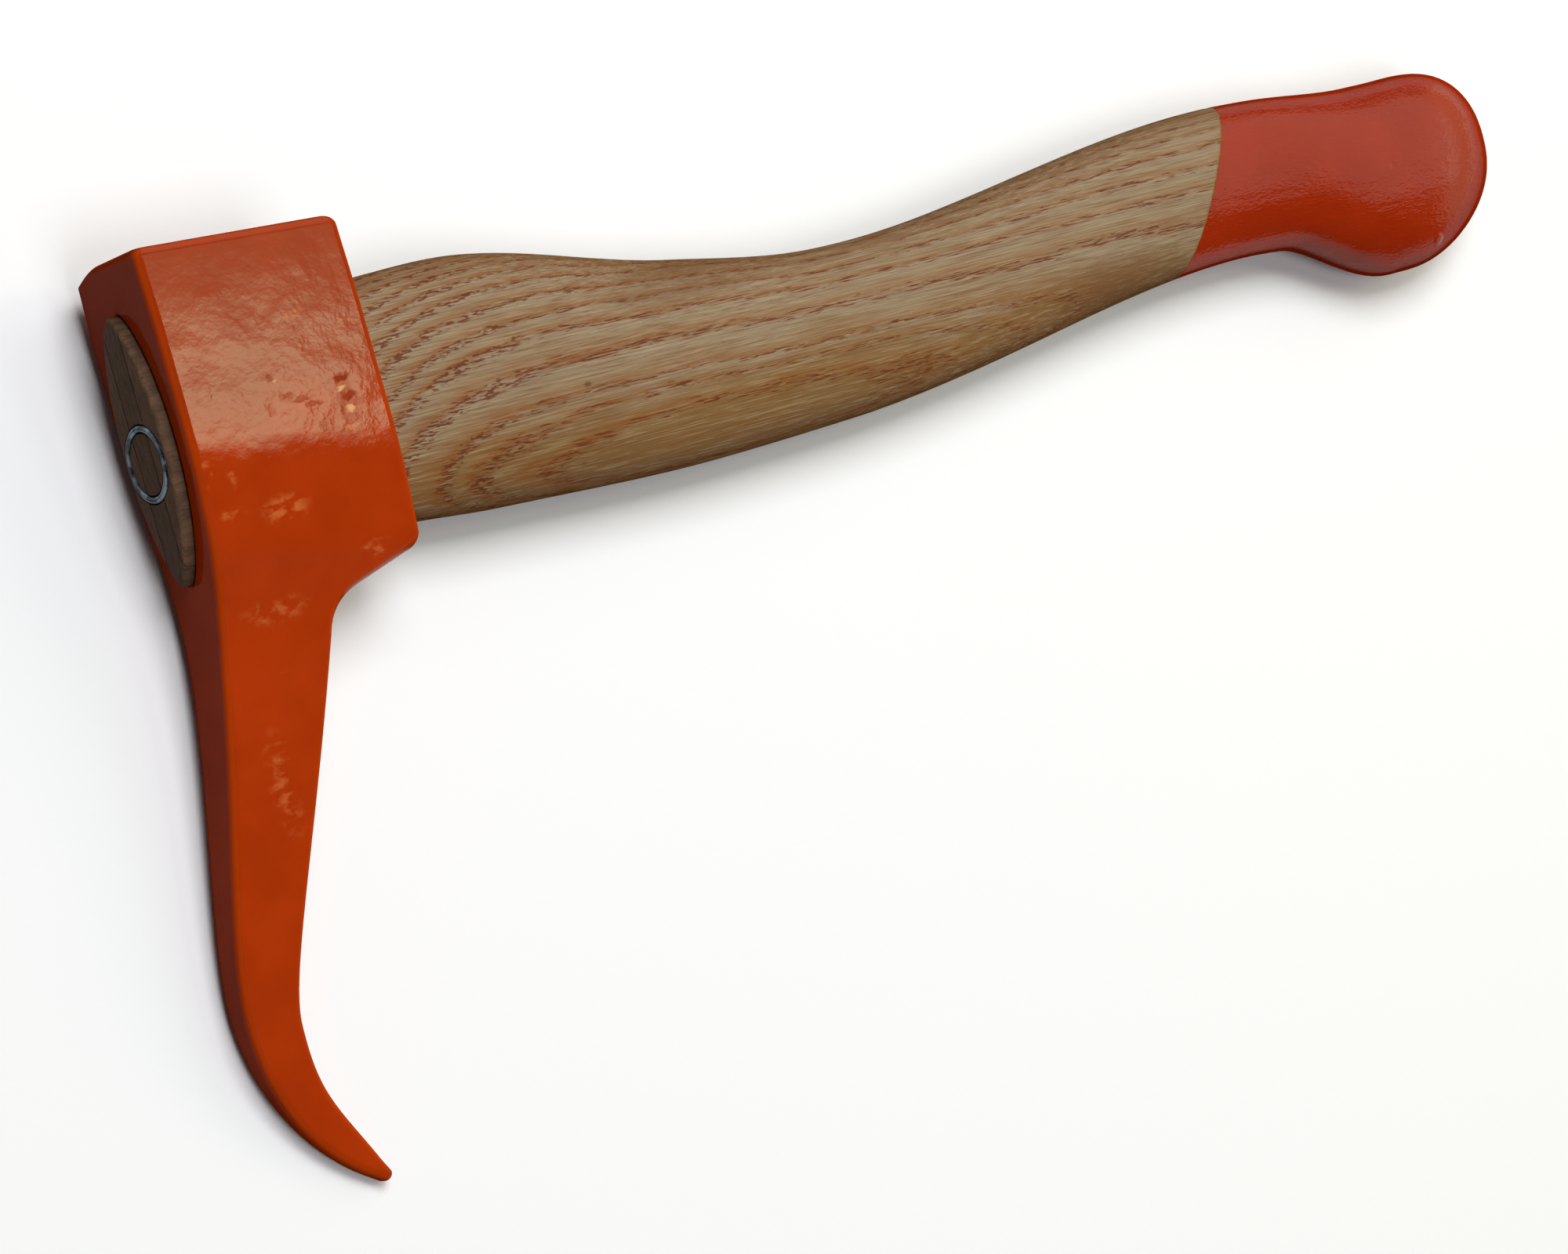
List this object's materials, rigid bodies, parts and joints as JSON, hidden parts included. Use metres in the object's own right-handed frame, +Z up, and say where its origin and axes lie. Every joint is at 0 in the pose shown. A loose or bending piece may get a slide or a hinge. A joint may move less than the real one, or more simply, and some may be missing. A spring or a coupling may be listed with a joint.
{
  "type": "hand pickaroon",
  "caption": "Short-handled timber-moving tool: a painted steel head with a hooked spike, wedged on a curved wooden handle whose swollen grip end is dipped in paint.",
  "frame": {"origin": "centre of the tool's box, on the surface it lies on", "axes": "+X along the handle from the head to the knob, +Y from the spike toward the poll, +Z up; the tool lies on its far cheek, spike tip and knob"},
  "size_m": [0.3926, 0.1904, 0.033],
  "materials": {
    "orange_enamel": "thick glossy orange enamel over a forged, slightly lumpy surface",
    "ash_wood": "sanded and oiled ash with brown open pores; its grip end is dipped in the head's orange enamel",
    "wedge_wood": "bare, dark end grain",
    "zinc_steel": "bluish zinc plate, worn bright on its rims"
  },
  "bodies": {
    "root": {"head": "orange_enamel", "handle": "ash_wood", "wooden_wedge": "wedge_wood", "ring_wedge": "zinc_steel"}
  },
  "joints": []
}
